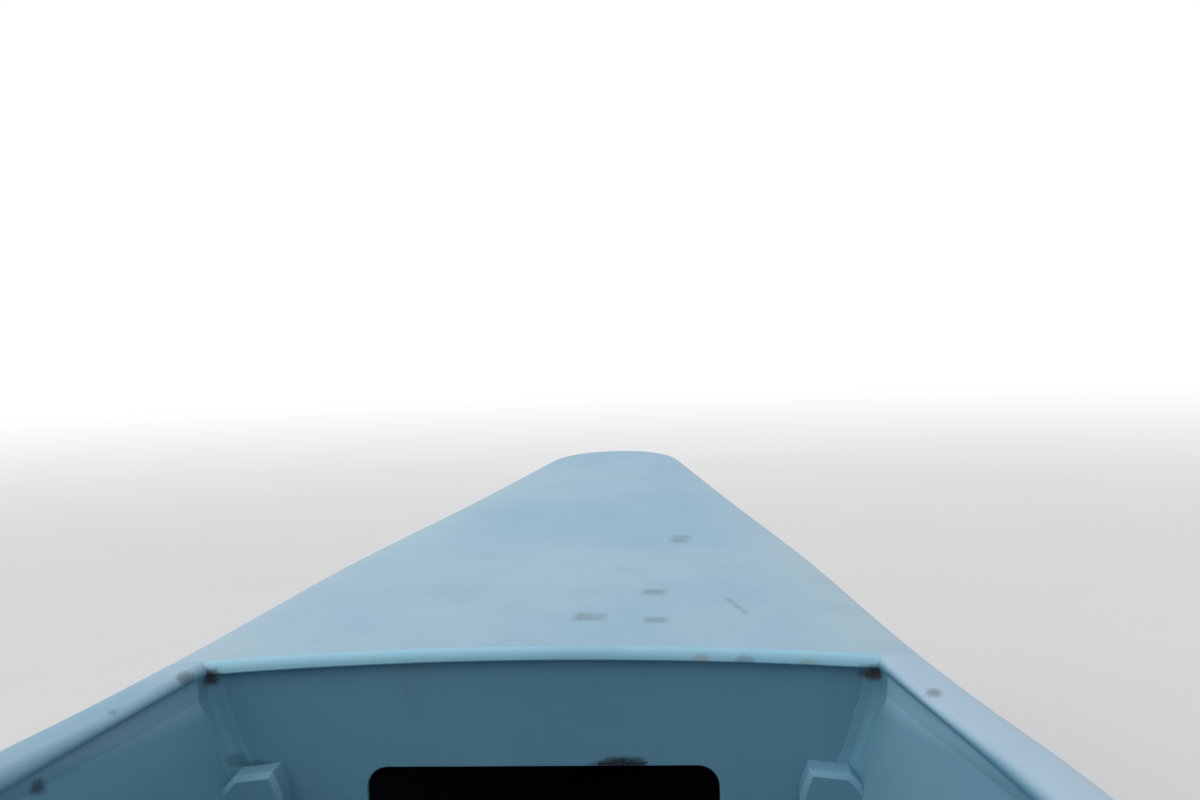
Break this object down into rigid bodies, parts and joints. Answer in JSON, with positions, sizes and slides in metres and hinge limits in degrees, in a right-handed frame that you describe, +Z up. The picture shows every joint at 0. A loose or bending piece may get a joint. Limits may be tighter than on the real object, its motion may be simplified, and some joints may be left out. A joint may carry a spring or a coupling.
{
  "type": "open fibreglass boat",
  "caption": "Open fibreglass lake skiff with a long cambered foredeck, bow locker, cross thwarts and a tiller-steered outboard that tilts and turns.",
  "frame": {"origin": "on the centreline at the waterline, amidships", "axes": "+Y to the bow, +X to starboard, +Z up"},
  "size_m": [1.8196, 7.2065, 1.353],
  "materials": {
    "hull_paint": "light-blue paint on laminate, worn",
    "trim_paint": "light-blue paint, worn along the edges",
    "deck_paint": "light-blue paint, sun-bleached",
    "thwart_paint": "light-blue paint, scuffed",
    "inner_laminate": "light-blue paint over laminate",
    "board_wood": "weathered hardwood boards",
    "pad_wood": "varnished plywood",
    "pad_alloy": "brushed alloy plate",
    "motor_casting": "satin dark grey paint",
    "propeller_alloy": "satin paint, worn at the tips",
    "motor_pan": "moulded black plastic",
    "motor_cowling": "gloss dark grey cowling",
    "grip_rubber": "ribbed rubber"
  },
  "bodies": {
    "hull": {"hull_bottom_aft": "hull_paint", "hull_bottom_fore": "hull_paint", "topside_port": "hull_paint", "topside_starboard": "hull_paint", "transom_board": "hull_paint", "stem_plate": "hull_paint", "gunwale_port": "trim_paint", "gunwale_starboard": "trim_paint", "foredeck": "deck_paint", "transom_cap": "trim_paint", "fore_bulkhead": "hull_paint", "corner_post_port": "hull_paint", "corner_post_starboard": "hull_paint", "floor_bearers": "inner_laminate", "sole_boards": "board_wood", "riser_port": "inner_laminate", "riser_starboard": "inner_laminate", "thwart_fore": "thwart_paint", "thwart_mid": "thwart_paint", "thwart_main": "thwart_paint", "stern_seat": "thwart_paint", "thwart_pedestals": "inner_laminate", "transom_pad_inner": "pad_wood", "transom_pad_outer": "pad_alloy", "transom_knee_port": "inner_laminate", "transom_knee_starboard": "inner_laminate", "keel_strip": "hull_paint", "clamp_bracket": "motor_casting"},
    "swivel": {"swivel_bracket": "motor_casting"},
    "motor": {"steering_yokes": "motor_casting", "motor_leg": "motor_casting", "gearcase": "motor_casting", "motor_pan": "motor_pan", "motor_cowling": "motor_cowling", "tiller_arm": "motor_casting", "tiller_grip": "grip_rubber"},
    "propeller": {"propeller": "propeller_alloy"}
  },
  "joints": [
    {"name": "motor_tilt", "type": "hinge", "parent": "hull", "child": "swivel", "pos_m": [0, -3.38253, 0.41234], "axis": [-1, 0, 0], "range_deg": [0, 65]},
    {"name": "motor_steer", "type": "hinge", "parent": "swivel", "child": "motor", "pos_m": [0, -3.50753, 0.3], "axis": [0, 0, 1], "range_deg": [-40, 40]},
    {"name": "propeller_spin", "type": "hinge", "parent": "motor", "child": "propeller", "pos_m": [0, -3.75653, -0.342], "axis": [0, 1, 0], "continuous": true}
  ]
}
